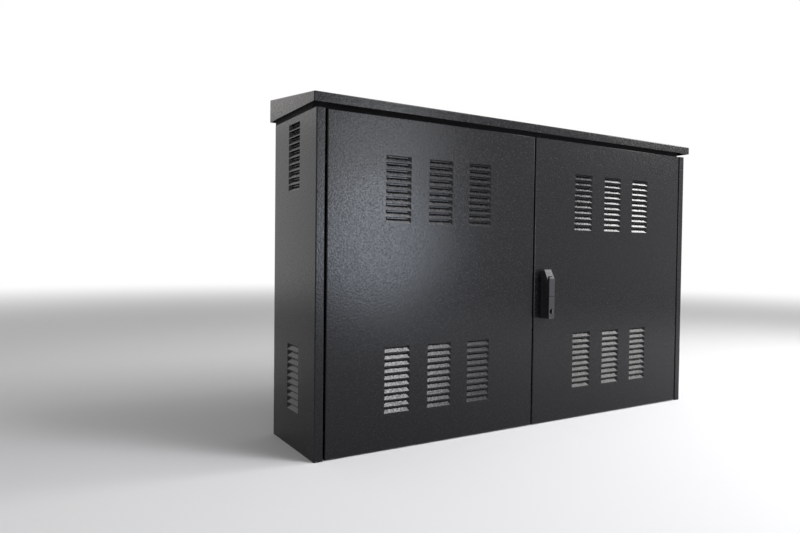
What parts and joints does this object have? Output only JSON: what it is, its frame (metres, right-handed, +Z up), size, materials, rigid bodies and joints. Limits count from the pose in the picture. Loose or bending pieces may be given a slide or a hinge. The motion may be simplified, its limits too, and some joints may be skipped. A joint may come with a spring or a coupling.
{
  "type": "roadside utility cabinet",
  "caption": "Low, wide sheet-metal outdoor cabinet with louvred double doors, a sloping roof hood and a swing-handle rod lock.",
  "frame": {"origin": "centre of the four floor anchor holes, on the ground under the middle of the body", "axes": "+X along the front towards the hinge side of the handle door, +Y from the doors to the back, +Z up"},
  "size_m": [1.22, 0.285, 0.7967],
  "materials": {
    "cabinet_black": "fine-textured semi-gloss powder coat",
    "handle_black": "satin die-cast",
    "zinc": "zinc plated",
    "lock_steel": "nickel plated",
    "rubber": "matt",
    "brass": "plain"
  },
  "bodies": {
    "cabinet": {"side_panel_left": "cabinet_black", "side_panel_right": "cabinet_black", "back_panel": "cabinet_black", "floor_panel": "cabinet_black", "top_panel": "cabinet_black", "roof_hood": "cabinet_black", "roof_bearer_left": "zinc", "roof_bearer_right": "zinc", "roof_screws": "zinc", "gland_plate": "zinc", "gland_screws": "zinc", "mounting_plate": "zinc", "plate_studs": "zinc", "plate_nuts": "zinc", "earth_stud": "brass", "hinge_arms_left": "zinc", "hinge_arms_right": "zinc", "hinge_pins_left": "zinc", "hinge_pins_right": "zinc"},
    "left_door": {"left_door_panel": "cabinet_black", "hinge_leaves_left": "zinc", "left_door_gasket": "rubber", "centre_seal": "rubber", "upper_bolt_barrel": "zinc", "lower_bolt_barrel": "zinc"},
    "upper_bolt": {"upper_bolt": "zinc"},
    "lower_bolt": {"lower_bolt": "zinc"},
    "right_door": {"right_door_panel": "cabinet_black", "hinge_leaves_right": "zinc", "right_door_gasket": "rubber", "handle_base": "handle_black", "handle_screws": "zinc", "lock_case": "zinc", "lock_case_cover": "zinc", "case_screws": "zinc", "upper_rod_guide": "zinc", "lower_rod_guide": "zinc"},
    "key_cylinder": {"lock_cylinder": "lock_steel"},
    "handle": {"handle_head": "handle_black", "lever_pin": "lock_steel", "lock_pinion": "zinc"},
    "lever": {"lever": "handle_black"},
    "upper_rod": {"upper_rod": "zinc"},
    "lower_rod": {"lower_rod": "zinc"}
  },
  "joints": [
    {"name": "left_door_swing", "type": "hinge", "parent": "cabinet", "child": "left_door", "pos_m": [-0.565, -0.1155, 0.3675], "axis": [0, 0, -1], "range_deg": [0, 110]},
    {"name": "right_door_swing", "type": "hinge", "parent": "cabinet", "child": "right_door", "pos_m": [0.565, -0.1155, 0.3675], "axis": [0, 0, 1], "range_deg": [0, 110]},
    {"name": "handle_turn", "type": "hinge", "parent": "right_door", "child": "handle", "pos_m": [0.035, -0.1225, 0.387], "axis": [0, -1, 0], "range_deg": [0, 90]},
    {"name": "lever_lift", "type": "hinge", "parent": "handle", "child": "lever", "pos_m": [0.035, -0.1445, 0.374], "axis": [-1, 0, 0], "range_deg": [0, 35]},
    {"name": "key_turn", "type": "hinge", "parent": "right_door", "child": "key_cylinder", "pos_m": [0.035, -0.1425, 0.293], "axis": [0, 1, 0], "range_deg": [0, 90]},
    {"name": "upper_rod_slide", "type": "slide", "parent": "right_door", "child": "upper_rod", "axis": [0, 0, -1], "range_m": [0, 0.0178]},
    {"name": "lower_rod_slide", "type": "slide", "parent": "right_door", "child": "lower_rod", "axis": [0, 0, 1], "range_m": [0, 0.0178]},
    {"name": "upper_bolt_slide", "type": "slide", "parent": "left_door", "child": "upper_bolt", "axis": [0, 0, 1], "range_m": [0, 0.02]},
    {"name": "lower_bolt_slide", "type": "slide", "parent": "left_door", "child": "lower_bolt", "axis": [0, 0, -1], "range_m": [0, 0.02]}
  ],
  "couplings": [
    {"joint": "upper_rod_slide", "follows": "handle_turn", "m_per_rad": 0.01125},
    {"joint": "lower_rod_slide", "follows": "handle_turn", "m_per_rad": 0.01125}
  ]
}
